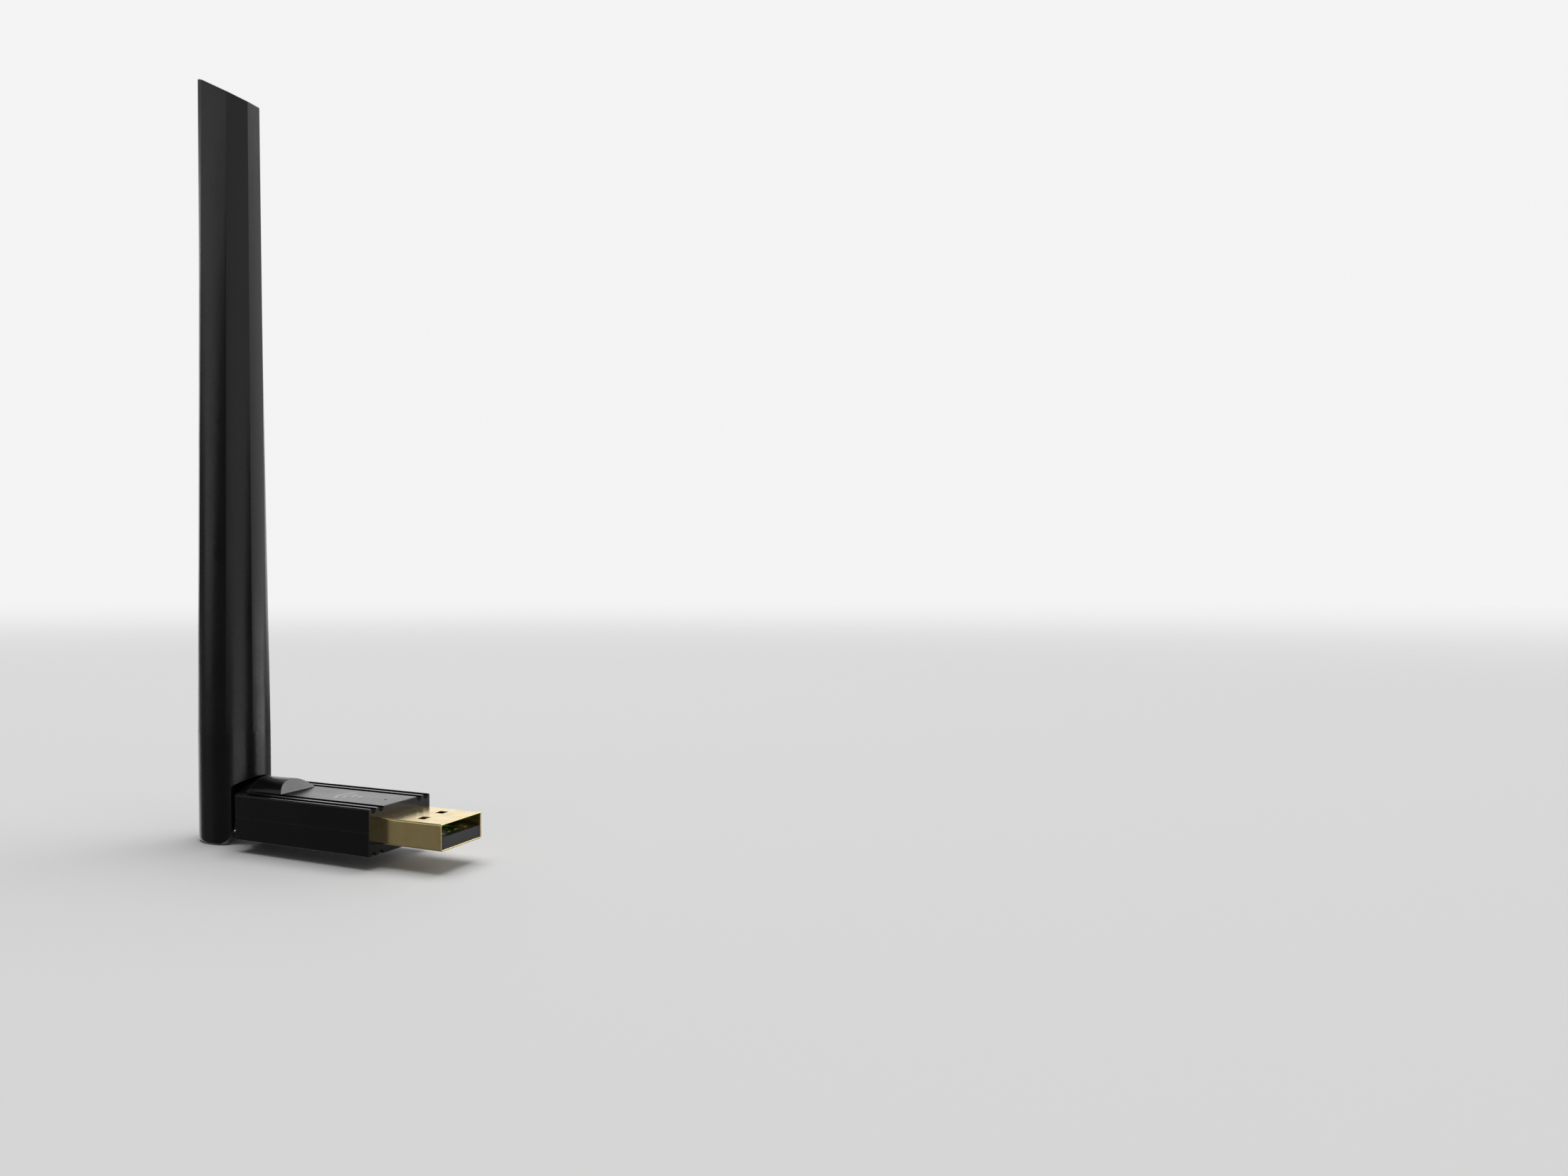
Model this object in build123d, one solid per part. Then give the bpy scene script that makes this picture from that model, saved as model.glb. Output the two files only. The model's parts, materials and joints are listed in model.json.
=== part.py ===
from build123d import *
import math
import os

# USB wifi adapter with a swivelling, folding paddle antenna.
# Millimetres. The origin is at the middle of the case face that the plug comes out of.
# +X points out along the plug, +Z is up along the raised antenna, and Y is across the case.

# Case
CASE_LENGTH = 30.2
CASE_WIDTH = 17.3
CASE_HEIGHT = 8.1
CASE_EDGE_RADIUS = 0.25
CASE_END_RADIUS = 0.12
CASE_WALL = 1.2
CAVITY_HALF_HEIGHT = 2.45
CAVITY_PANEL_HALF_HEIGHT = 2.85
CAVITY_FRONT_X = -1.4
CAVITY_REAR_X = -22.8
RAIL_WIDTH = 0.6
RAIL_FRONT_X = -4.5
RAIL_REAR_X = -21.1
PIN_RADIUS = 0.4
PIN_HOLE_RADIUS = 0.43
PIN_TOP_Z = 1.2
PIN_HOLE_TOP_Z = 1.4
PIN_ROOT_Z = -0.5
PIN_PLACES = ((-27.0, 7.0), (-0.7, 7.4))

# U-shaped grooves along both faces
GROOVE_CENTRES_Y = (5.40, 7.42)
GROOVE_WIDTH = 1.35
GROOVE_DEPTH = 0.85

# Swivel hood and bearing
HOOD_RADIUS = 6.1
HOOD_FRONT_X = -23.15
HOOD_TOP_FRONT_X = -24.9
HOOD_EDGE = 0.1
BEARING_RADIUS = 4.60
BEARING_CLEARANCE = 0.05
FLANGE_RADIUS = 5.05
FLANGE_FRONT_X = -24.9
FLANGE_THICKNESS = 1.0
FLANGE_END_PLAY = 0.08
CABLE_PORT_RADIUS = 1.0

# USB type A plug
PLUG_LENGTH = 12.7
PLUG_WIDTH = 12.0
PLUG_HEIGHT = 4.5
PLUG_WALL = 0.2
PLUG_CORNER_RADIUS = 0.32
PLUG_REAR_X = -2.6
PLUG_WINDOW_X = 6.72
PLUG_WINDOW_Y = 2.65
PLUG_WINDOW_LENGTH = 1.8
PLUG_WINDOW_WIDTH = 1.95
PLUG_WINDOW_CORNER = 0.12

# Circuit board; its top face is at z = 0
BOARD_THICKNESS = 0.8
BOARD_WIDTH = 14.8
BOARD_REAR_X = -20.8
BOARD_STEP_X = -2.9
BOARD_TONGUE_WIDTH = 9.4
BOARD_TONGUE_END_X = 11.4
INSULATOR_END_X = 12.55
CONTACT_WIDTH = 1.0
CONTACT_THICKNESS = 0.06
CONTACT_EDGE = 0.02
CONTACT_REAR_X = 3.4
POWER_CONTACT_Y = 3.5
POWER_CONTACT_END_X = 11.2
DATA_CONTACT_Y = 1.0
DATA_CONTACT_END_X = 10.8

# Components on the board: x, y, length, width and height
CHIPS = {
    "wifi_chip": (-13.2, 0, 6.0, 6.0, 0.85),
    "crystal_oscillator": (-5.9, -4.8, 3.2, 2.5, 0.7),
    "voltage_regulator": (-5.4, 4.9, 2.9, 1.6, 1.1),
    "power_inductor": (-19.6, 3.1, 2.0, 2.0, 1.2),
    "memory_chip": (-19.6, -3.1, 2.0, 2.4, 0.7),
}
CHIP_EDGE = 0.1
PASSIVE_SIZE = (0.6, 1.0, 0.45)
PASSIVE_EDGE = 0.05
FRONT_PASSIVES_X = (-4.9, -6.2, -7.5)
FRONT_PASSIVES_Y = (2.2, -2.0)
REAR_PASSIVES_X = (-19.1, -20.2)
REAR_PASSIVES_Y = (5.2, -5.2)
SHIELD_CENTRE_X = -13.2
SHIELD_LENGTH = 9.6
SHIELD_WIDTH = 11.2
SHIELD_HEIGHT = 1.7
SHIELD_WALL = 0.2

# Status light
LED_X = -3.25
LED_SIZE = (1.0, 1.6, 0.55)
LIGHT_PIPE_RADIUS = 0.3
LIGHT_PIPE_GAP = 0.03
LIGHT_PIPE_RECESS = 0.15

# Swivel knuckle
COLLAR_GAP = 0.12
COLLAR_END_X = -31.35
COLLAR_EDGE = 0.1
BARREL_BORE_RADIUS = 2.6
RING_FRONT_X = -27.4
RING_WIDTH = 1.2
RING_FLOOR_RADIUS = 3.8
TONGUE_HALF_WIDTH = 4.3
TONGUE_BOTTOM_Z = -2.2
TONGUE_TOP_Z = 4.9
TONGUE_SIDE_TOP_Z = 3.3
TONGUE_TOP_HALF_WIDTH = 2.7
TONGUE_SHOULDER = 4.7
TONGUE_EYE_TOP = 1.0
TONGUE_EYE_BACK = 0.5
EYE_RADIUS = 3.0
TRUNNION_RADIUS = 1.6
TRUNNION_LENGTH = 0.8
CABLE_SLOT_WIDTH = 2.2

# Fold axis, parallel to Y
FOLD_X = -38.85

# Antenna
FOOT_RADIUS_X = 6.75
FOOT_RADIUS_Y = 6.4
FOOT_BOTTOM_Z = -6.35
FOOT_TOP_Z = 14.25
FOOT_FLAT = 4.1
FOOT_FLAT_TOP_Z = 4.65
FOOT_FULL_Z = 6.2
FOOT_CORNER_RADIUS = 3.0
FOOT_INNER_RADIUS = 1.0
FOOT_EDGE_RADIUS = 0.8
FORK_CLEARANCE = 0.12
FORK_BACK = 4.6
FORK_TOP_Z = 5.05
TRUNNION_CLEARANCE = 0.05
SPIGOT_RADIUS_X = 5.4
SPIGOT_RADIUS_Y = 4.9
SPIGOT_TOP_Z = 20.25
FOOT_CORE_RADIUS_X = 4.3
FOOT_CORE_RADIUS_Y = 3.7
FOOT_CORE_FLOOR_Z = 7.35
SLEEVE_WALL = 1.2
TIP_HALF_LENGTH = 6.25
TIP_HALF_THICKNESS = 3.5
TIP_FLAT_HALF_LENGTH = 3.15
TIP_END_HALF_THICKNESS = 1.45
TIP_PEAK_Z = 137.1
TIP_LOW_Z = 130.2
TIP_EDGE_RADIUS = 0.25
TIP_CAP_THICKNESS = 1.8
FOOT_SEAM = 0.01

# Coax and radiator
COAX_RADIUS = 0.565
COAX_FOLD_GAP = 0.75
COAX_BOARD_END_X = -19.5
COAX_FEED_Z = 60.0
RADIATOR_WIDTH = 8.4
RADIATOR_THICKNESS = 0.8
RADIATOR_BOTTOM_Z = 19.25
RADIATOR_TOP_Z = 126.0
COPPER_THICKNESS = 0.1
COPPER_HALF_WIDTH = 3.8
COPPER_TRACK = 1.2
COPPER_LINK_HALF_WIDTH = 0.5
EARTH_STRIP_X = 1.2
EARTH_STRIP_Z = (28.0, 58.0)
FEED_PAD_Z = 62.0
LOWER_RING_TOP_Z = 88.0
UPPER_RING_Z = (92.0, 114.0)
SOLDER_WIDTH = 1.0
SOLDER_HEIGHT = 0.7
BRAID_SOLDER_Z = (55.0, 57.0)
BRAID_SOLDER_HEIGHT = 0.5
BODY_SOLDER_RADIUS = 0.6
BODY_BRAID_SOLDER_END_Y = 1.3

HALF_WIDTH = CASE_WIDTH / 2
HALF_HEIGHT = CASE_HEIGHT / 2
TIP_SLOPE = (TIP_PEAK_Z - TIP_LOW_Z) / (2 * TIP_HALF_LENGTH)


def block(x_range, y_range, z_range):
    """Box between two values on each axis."""
    size = [high - low for low, high in (x_range, y_range, z_range)]
    middle = [(high + low) / 2 for low, high in (x_range, y_range, z_range)]
    return Pos(*middle) * Box(*size)


def x_cylinder(radius, x_low, x_high, y=0, z=0):
    """Cylinder along X."""
    centre = Pos((x_low + x_high) / 2, y, z)
    return centre * Rot(0, 90, 0) * Cylinder(radius, x_high - x_low)


def y_cylinder(radius, y_low, y_high, x=0, z=0):
    """Cylinder along Y."""
    return Pos(x, (y_low + y_high) / 2, z) * Rot(90, 0, 0) * Cylinder(radius, y_high - y_low)


def z_cylinder(radius, z_low, z_high, x=0, y=0):
    """Cylinder along Z."""
    return Pos(x, y, (z_low + z_high) / 2) * Cylinder(radius, z_high - z_low)


def mirrored(shape, plane):
    """The shape together with its mirror image."""
    return shape + mirror(shape, about=plane)


def one_solid(shape):
    """The single solid that a shape holds."""
    solids = shape.solids()
    if len(solids) != 1:
        raise ValueError(f"expected one solid, found {len(solids)}")
    return solids[0]


def write(name, *solids):
    """Write one node as a STEP file."""
    shape = solids[0] if len(solids) == 1 else Compound(children=list(solids))
    export_step(shape, f"parts/{name}.step")


# ---------------------------------------------------------------- case


def groove_cutters():
    """U-shaped cutters along the top and the underside."""
    radius = GROOVE_WIDTH / 2
    floor = HALF_HEIGHT - GROOVE_DEPTH
    overrun = 1.0
    cutters = []
    for y in GROOVE_CENTRES_Y:
        round_floor = x_cylinder(radius, -CASE_LENGTH - overrun, overrun, y, floor + radius)
        straight = block(
            (-CASE_LENGTH - overrun, overrun),
            (y - radius, y + radius),
            (floor + radius, HALF_HEIGHT + overrun),
        )
        cutters.append(mirrored(mirrored(round_floor + straight, Plane.XZ), Plane.XY))
    return cutters


def hood():
    """Cylinder round the swivel axis, its front slanting back above and below the case."""
    outline = Polyline(
        (-CASE_LENGTH, -HOOD_RADIUS),
        (HOOD_TOP_FRONT_X, -HOOD_RADIUS),
        (HOOD_FRONT_X, -HALF_HEIGHT),
        (HOOD_FRONT_X, HALF_HEIGHT),
        (HOOD_TOP_FRONT_X, HOOD_RADIUS),
        (-CASE_LENGTH, HOOD_RADIUS),
        close=True,
    )
    # Outline drawn in X and Z, carried across the case
    side_plane = Plane(origin=(0, HOOD_RADIUS, 0), x_dir=(1, 0, 0), z_dir=(0, -1, 0))
    profile = extrude(side_plane * make_face(outline), amount=2 * HOOD_RADIUS)
    barrel = x_cylinder(HOOD_RADIUS, -CASE_LENGTH, HOOD_FRONT_X) & profile
    return fillet(barrel.edges().filter_by(GeomType.ELLIPSE), HOOD_EDGE)


def case_outside():
    """Grooved block with the swivel hood standing through it."""
    body = block((-CASE_LENGTH, 0), (-HALF_WIDTH, HALF_WIDTH), (-HALF_HEIGHT, HALF_HEIGHT))
    body = fillet(body.edges().filter_by(Axis.X), CASE_EDGE_RADIUS)
    body = fillet(body.edges().group_by(Axis.X)[-1], CASE_END_RADIUS)
    body = fillet(body.edges().group_by(Axis.X)[0], CASE_END_RADIUS)
    for cutter in groove_cutters():
        body -= cutter
    return body + hood()


def case_inside():
    """Everything that is hollow inside the closed case."""
    inner_width = HALF_WIDTH - CASE_WALL
    panel_width = GROOVE_CENTRES_Y[0] - GROOVE_WIDTH / 2 - 0.4
    hollow = block(
        (CAVITY_REAR_X, CAVITY_FRONT_X),
        (-inner_width, inner_width),
        (-CAVITY_HALF_HEIGHT, CAVITY_HALF_HEIGHT),
    )
    hollow += block(
        (CAVITY_REAR_X, CAVITY_FRONT_X),
        (-panel_width, panel_width),
        (-CAVITY_PANEL_HALF_HEIGHT, CAVITY_PANEL_HALF_HEIGHT),
    )
    rail = block(
        (RAIL_REAR_X, RAIL_FRONT_X),
        (inner_width - RAIL_WIDTH, inner_width),
        (0, CAVITY_HALF_HEIGHT),
    )
    lower_rail = block(
        (RAIL_REAR_X, RAIL_FRONT_X),
        (inner_width - RAIL_WIDTH, inner_width),
        (-CAVITY_HALF_HEIGHT, -BOARD_THICKNESS),
    )
    hollow -= mirrored(rail + lower_rail, Plane.XZ)
    plug_hole = block(
        (CAVITY_FRONT_X, 1), (-PLUG_WIDTH / 2, PLUG_WIDTH / 2), (-PLUG_HEIGHT / 2, PLUG_HEIGHT / 2)
    )
    plug_hole = fillet(plug_hole.edges().filter_by(Axis.X), PLUG_CORNER_RADIUS)
    bearing = x_cylinder(BEARING_RADIUS, -CASE_LENGTH - 1, FLANGE_FRONT_X + FLANGE_END_PLAY)
    flange_pocket = x_cylinder(
        FLANGE_RADIUS + BEARING_CLEARANCE,
        FLANGE_FRONT_X - FLANGE_THICKNESS - FLANGE_END_PLAY,
        FLANGE_FRONT_X + FLANGE_END_PLAY,
    )
    cable_port = x_cylinder(CABLE_PORT_RADIUS, FLANGE_FRONT_X - 1, CAVITY_REAR_X + 1)
    return hollow + plug_hole + bearing + flange_pocket + cable_port


def locating_pins(radius, top_z):
    """Pins that line the two shells up, rooted just below the joint."""
    pins = [z_cylinder(radius, PIN_ROOT_Z, top_z, x, y) for x, y in PIN_PLACES]
    return mirrored(pins[0] + pins[1], Plane.XZ)


def shells():
    """The case, cut at mid height into its upper and lower shell."""
    case = case_outside() - case_inside()
    upper_half = block((-60, 20), (-20, 20), (0, 20))
    lower_half = block((-60, 20), (-20, 20), (-20, 0))
    upper = case & upper_half
    upper -= locating_pins(PIN_HOLE_RADIUS, PIN_HOLE_TOP_Z)
    upper -= z_cylinder(LIGHT_PIPE_RADIUS, 0, 6, LED_X)
    lower = (case & lower_half) + locating_pins(PIN_RADIUS, PIN_TOP_Z)
    return one_solid(upper), one_solid(lower)


# ---------------------------------------------------------------- plug and board


def usb_plug_shell():
    """Folded metal tube with two windows above and two below."""
    outer = block(
        (PLUG_REAR_X, PLUG_LENGTH),
        (-PLUG_WIDTH / 2, PLUG_WIDTH / 2),
        (-PLUG_HEIGHT / 2, PLUG_HEIGHT / 2),
    )
    outer = fillet(outer.edges().filter_by(Axis.X), PLUG_CORNER_RADIUS)
    inner = block(
        (PLUG_REAR_X - 1, PLUG_LENGTH + 1),
        (-PLUG_WIDTH / 2 + PLUG_WALL, PLUG_WIDTH / 2 - PLUG_WALL),
        (-PLUG_HEIGHT / 2 + PLUG_WALL, PLUG_HEIGHT / 2 - PLUG_WALL),
    )
    inner = fillet(inner.edges().filter_by(Axis.X), PLUG_CORNER_RADIUS - PLUG_WALL)
    shell = outer - inner
    for y in (-PLUG_WINDOW_Y, PLUG_WINDOW_Y):
        window = Pos(PLUG_WINDOW_X, y, 0) * Box(PLUG_WINDOW_LENGTH, PLUG_WINDOW_WIDTH, 10)
        shell -= fillet(window.edges().filter_by(Axis.Z), PLUG_WINDOW_CORNER)
    return one_solid(shell)


def usb_insulator():
    """Block under the board's tongue that fills the lower half of the plug."""
    half_width = PLUG_WIDTH / 2 - PLUG_WALL
    lowest = -PLUG_HEIGHT / 2 + PLUG_WALL
    body = block((PLUG_REAR_X, INSULATOR_END_X), (-half_width, half_width), (lowest, 0))
    corners = body.edges().filter_by(Axis.X).group_by(Axis.Z)[0]
    body = fillet(corners, PLUG_CORNER_RADIUS - PLUG_WALL)
    half_tongue = BOARD_TONGUE_WIDTH / 2
    seat = block((PLUG_REAR_X - 1, BOARD_TONGUE_END_X), (-half_tongue, half_tongue), (-BOARD_THICKNESS, 1))
    return one_solid(body - seat)


def main_pcb():
    """Board with a narrow tongue that runs out through the plug."""
    half_tongue = BOARD_TONGUE_WIDTH / 2
    half_board = BOARD_WIDTH / 2
    board = block((BOARD_REAR_X, BOARD_STEP_X), (-half_board, half_board), (-BOARD_THICKNESS, 0))
    board += block((BOARD_STEP_X, BOARD_TONGUE_END_X), (-half_tongue, half_tongue), (-BOARD_THICKNESS, 0))
    return one_solid(board)


def usb_contacts():
    """Four gold strips: long outer power contacts and short inner data contacts."""
    half_width = CONTACT_WIDTH / 2
    strips = []
    for y, end_x in ((DATA_CONTACT_Y, DATA_CONTACT_END_X), (POWER_CONTACT_Y, POWER_CONTACT_END_X)):
        strip = block((CONTACT_REAR_X, end_x), (y - half_width, y + half_width), (0, CONTACT_THICKNESS))
        strip = chamfer(strip.edges().group_by(Axis.Z)[-1], CONTACT_EDGE)
        strips += mirrored(strip, Plane.XZ).solids()
    return strips


def chip(x, y, length, width, height, edge=CHIP_EDGE):
    """Flat moulded component standing on the board."""
    body = block((x - length / 2, x + length / 2), (y - width / 2, y + width / 2), (0, height))
    return one_solid(chamfer(body.edges().group_by(Axis.Z)[-1], edge))


def rf_shield_can():
    """Pressed metal can, open towards the board."""
    half_length = SHIELD_LENGTH / 2
    half_width = SHIELD_WIDTH / 2
    rear_x, front_x = SHIELD_CENTRE_X - half_length, SHIELD_CENTRE_X + half_length
    outer = block((rear_x, front_x), (-half_width, half_width), (0, SHIELD_HEIGHT))
    outer = fillet(outer.edges().filter_by(Axis.Z), 0.5)
    outer = fillet(outer.edges().group_by(Axis.Z)[-1], 0.18)
    inner = block(
        (rear_x + SHIELD_WALL, front_x - SHIELD_WALL),
        (-half_width + SHIELD_WALL, half_width - SHIELD_WALL),
        (-1, SHIELD_HEIGHT - SHIELD_WALL),
    )
    return one_solid(outer - inner)


def chip_passives():
    """Small resistors and capacitors round the larger components."""
    spots = [(x, y) for y in FRONT_PASSIVES_Y for x in FRONT_PASSIVES_X]
    spots += [(x, y) for y in REAR_PASSIVES_Y for x in REAR_PASSIVES_X]
    return [chip(x, y, *PASSIVE_SIZE, edge=PASSIVE_EDGE) for x, y in spots]


def status_led():
    """Light source under the pipe."""
    return chip(LED_X, 0, *LED_SIZE)


def led_light_pipe():
    """Clear rod from the light source to just below the case's top face."""
    top_z = HALF_HEIGHT - LIGHT_PIPE_RECESS
    return one_solid(z_cylinder(LIGHT_PIPE_RADIUS - LIGHT_PIPE_GAP, LED_SIZE[2], top_z, LED_X))


# ---------------------------------------------------------------- coax


def coax_tube(points, radii):
    """Tube of the coax's diameter along straight runs joined by tangent arcs."""
    path = FilletPolyline(*points, radius=radii)
    start = Plane(origin=path @ 0, z_dir=path % 0)
    return one_solid(sweep(start * Circle(COAX_RADIUS), path=path))


def body_coax():
    """Coax from the board, down a gentle S to the swivel axis."""
    return coax_tube(
        [
            (COAX_BOARD_END_X, 0, COAX_RADIUS),
            (-21.4, 0, COAX_RADIUS),
            (-23.4, 0, 0),
            (FLANGE_FRONT_X, 0, 0),
        ],
        [4.0, 4.0],
    )


def body_coax_solder():
    """Solder joints of the coax's core and braid."""
    ball = Pos(COAX_BOARD_END_X + 0.45, 0, 0) * Sphere(BODY_SOLDER_RADIUS)
    core = ball & block((-25, 0), (-2, 2), (0, BODY_SOLDER_RADIUS))
    core -= x_cylinder(COAX_RADIUS, COAX_BOARD_END_X - 2, COAX_BOARD_END_X, 0, COAX_RADIUS)
    braid = block(
        (COAX_BOARD_END_X - 0.9, COAX_BOARD_END_X - 0.4),
        (BODY_SOLDER_RADIUS, BODY_BRAID_SOLDER_END_Y),
        (0, BRAID_SOLDER_HEIGHT),
    )
    braid = mirrored(braid, Plane.XZ)
    return [one_solid(core), *braid.solids()]


# ---------------------------------------------------------------- swivel knuckle


def tongue():
    """Flat-sided beam with a chamfered top, ending in a round eye on the fold axis."""
    section = make_face(
        Polyline(
            (-TONGUE_HALF_WIDTH, TONGUE_BOTTOM_Z),
            (TONGUE_HALF_WIDTH, TONGUE_BOTTOM_Z),
            (TONGUE_HALF_WIDTH, TONGUE_SIDE_TOP_Z),
            (TONGUE_TOP_HALF_WIDTH, TONGUE_TOP_Z),
            (-TONGUE_TOP_HALF_WIDTH, TONGUE_TOP_Z),
            (-TONGUE_HALF_WIDTH, TONGUE_SIDE_TOP_Z),
            close=True,
        )
    )
    # Section drawn in Y and Z, swept from the collar towards -X
    section_plane = Plane(origin=(COLLAR_END_X, 0, 0), x_dir=(0, 1, 0), z_dir=(1, 0, 0))
    beam = extrude(section_plane * section, amount=FOLD_X - EYE_RADIUS - COLLAR_END_X)
    side = make_face(
        Polyline(
            (COLLAR_END_X, TONGUE_BOTTOM_Z),
            (COLLAR_END_X, TONGUE_TOP_Z),
            (FOLD_X + TONGUE_SHOULDER, TONGUE_TOP_Z),
            (FOLD_X + TONGUE_EYE_TOP, math.sqrt(EYE_RADIUS**2 - TONGUE_EYE_TOP**2)),
            (FOLD_X - TONGUE_EYE_BACK, 0),
            (FOLD_X, TONGUE_BOTTOM_Z),
            close=True,
        )
    )
    side_plane = Plane(origin=(0, TONGUE_HALF_WIDTH, 0), x_dir=(1, 0, 0), z_dir=(0, -1, 0))
    profile = extrude(side_plane * side, amount=2 * TONGUE_HALF_WIDTH)
    eye = y_cylinder(EYE_RADIUS, -TONGUE_HALF_WIDTH, TONGUE_HALF_WIDTH, FOLD_X)
    trunnions = y_cylinder(
        TRUNNION_RADIUS,
        -TONGUE_HALF_WIDTH - TRUNNION_LENGTH,
        TONGUE_HALF_WIDTH + TRUNNION_LENGTH,
        FOLD_X,
    )
    return (beam & profile) + eye + trunnions


def swivel_knuckle():
    """Barrel with its retaining flange, collar and tongue, bored for the coax."""
    barrel_radius = BEARING_RADIUS - BEARING_CLEARANCE
    collar_start_x = -CASE_LENGTH - COLLAR_GAP
    collar = x_cylinder(HOOD_RADIUS, COLLAR_END_X, collar_start_x)
    collar = chamfer(collar.edges().group_by(Axis.X)[0], COLLAR_EDGE)
    knuckle = collar + x_cylinder(barrel_radius, collar_start_x, FLANGE_FRONT_X)
    knuckle += x_cylinder(FLANGE_RADIUS, FLANGE_FRONT_X - FLANGE_THICKNESS, FLANGE_FRONT_X)
    knuckle += tongue()
    ring_groove = x_cylinder(barrel_radius + 1, RING_FRONT_X - RING_WIDTH, RING_FRONT_X)
    ring_groove -= x_cylinder(RING_FLOOR_RADIUS, RING_FRONT_X - RING_WIDTH, RING_FRONT_X)
    knuckle -= ring_groove
    knuckle -= x_cylinder(BARREL_BORE_RADIUS, collar_start_x, FLANGE_FRONT_X + 1)
    knuckle -= x_cylinder(CABLE_SLOT_WIDTH / 2, FOLD_X, collar_start_x + 1)
    knuckle -= eye_slot()
    return one_solid(knuckle)


def eye_slot():
    """Slot through the eye that lets the coax bend as the antenna folds."""
    half_slot = CABLE_SLOT_WIDTH / 2
    return block(
        (FOLD_X - EYE_RADIUS - 1, FOLD_X + half_slot),
        (-half_slot, half_slot),
        (-half_slot, EYE_RADIUS + 1),
    )


def swivel_friction_ring():
    """Ring in the barrel's groove, rounded where it rubs in the case."""
    outer_radius = BEARING_RADIUS - 0.02
    ring = x_cylinder(outer_radius, RING_FRONT_X - RING_WIDTH + 0.05, RING_FRONT_X - 0.05)
    ring = fillet(ring.edges(), 0.3)
    ring -= x_cylinder(RING_FLOOR_RADIUS, RING_FRONT_X - RING_WIDTH - 1, RING_FRONT_X + 1)
    return one_solid(ring)


def knuckle_coax():
    """Straight coax along the swivel axis, stopping short of the fold axis."""
    return one_solid(x_cylinder(COAX_RADIUS, FOLD_X + COAX_FOLD_GAP, FLANGE_FRONT_X))


# ---------------------------------------------------------------- antenna


def ellipse_ring(radius_x, radius_y, z):
    """Ellipse in eight arcs whose ends face the corners of the tip's outline."""
    plane = Plane(origin=(FOLD_X, 0, z))
    near_end = 17
    near_side = 60
    quarter = [near_end, near_side]
    angles = quarter + [180 - a for a in reversed(quarter)]
    angles += [180 + a for a in quarter] + [360 - a for a in reversed(quarter)]
    arcs = []
    for start, end in zip(angles, angles[1:] + [angles[0] + 360]):
        points = []
        for step in range(5):
            angle = math.radians(start + (end - start) * step / 4)
            points.append((radius_x * math.cos(angle), radius_y * math.sin(angle)))
        tangents = []
        for angle in (math.radians(start), math.radians(end)):
            tangents.append((-radius_x * math.sin(angle), radius_y * math.cos(angle)))
        arcs.append(Spline(*points, tangents=tangents))
    return plane * make_face(Wire(arcs))


def tip_outline(half_length, half_thickness, flat_half_length, end_half_thickness, z):
    """Stretched octagon."""
    quarter = [(half_length, end_half_thickness), (flat_half_length, half_thickness)]
    points = quarter + [(-x, y) for x, y in reversed(quarter)]
    points += [(-x, -y) for x, y in points]
    return Plane(origin=(FOLD_X, 0, z)) * make_face(Polyline(*points, close=True))


def paddle(inset):
    """Blend from the foot's ellipse to the tip's octagon, drawn in by an inset."""
    foot = ellipse_ring(FOOT_RADIUS_X - inset, FOOT_RADIUS_Y - inset, FOOT_TOP_Z)
    tip = tip_outline(
        TIP_HALF_LENGTH - inset,
        TIP_HALF_THICKNESS - inset,
        TIP_FLAT_HALF_LENGTH - 0.35 * inset,
        TIP_END_HALF_THICKNESS - 0.35 * inset,
        TIP_PEAK_Z + 2,
    )
    return loft([foot, tip], ruled=True)


def above_slant(drop):
    """Space above the slanted top, lowered by a drop."""
    reach = 12
    low = TIP_LOW_Z - drop - TIP_SLOPE * (reach - TIP_HALF_LENGTH)
    high = TIP_PEAK_Z - drop + TIP_SLOPE * (reach - TIP_HALF_LENGTH)
    outline = make_face(
        Polyline(
            (FOLD_X - reach, high),
            (FOLD_X + reach, low),
            (FOLD_X + reach, TIP_PEAK_Z + 20),
            (FOLD_X - reach, TIP_PEAK_Z + 20),
            close=True,
        )
    )
    plane = Plane(origin=(0, reach, 0), x_dir=(1, 0, 0), z_dir=(0, -1, 0))
    return extrude(plane * outline, amount=2 * reach)


def antenna_sleeve():
    """Long hollow sleeve, closed by its slanted top."""
    outside = paddle(0) - above_slant(0)
    rim = outside.faces().sort_by(Axis.Z)[-1].edges()
    outside = fillet(rim, TIP_EDGE_RADIUS)
    sleeve = outside - (paddle(SLEEVE_WALL) - above_slant(TIP_CAP_THICKNESS))
    foot_gap = block(
        (FOLD_X - 20, FOLD_X + 20), (-20, 20), (FOOT_TOP_Z - 1, FOOT_TOP_Z + FOOT_SEAM)
    )
    return one_solid(sleeve - foot_gap)


def elliptic_post(radius_x, radius_y, z_low, z_high):
    """Elliptic cylinder on the antenna's axis."""
    base = Plane(origin=(FOLD_X, 0, z_low)) * Ellipse(radius_x, radius_y)
    return extrude(base, amount=z_high - z_low)


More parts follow.
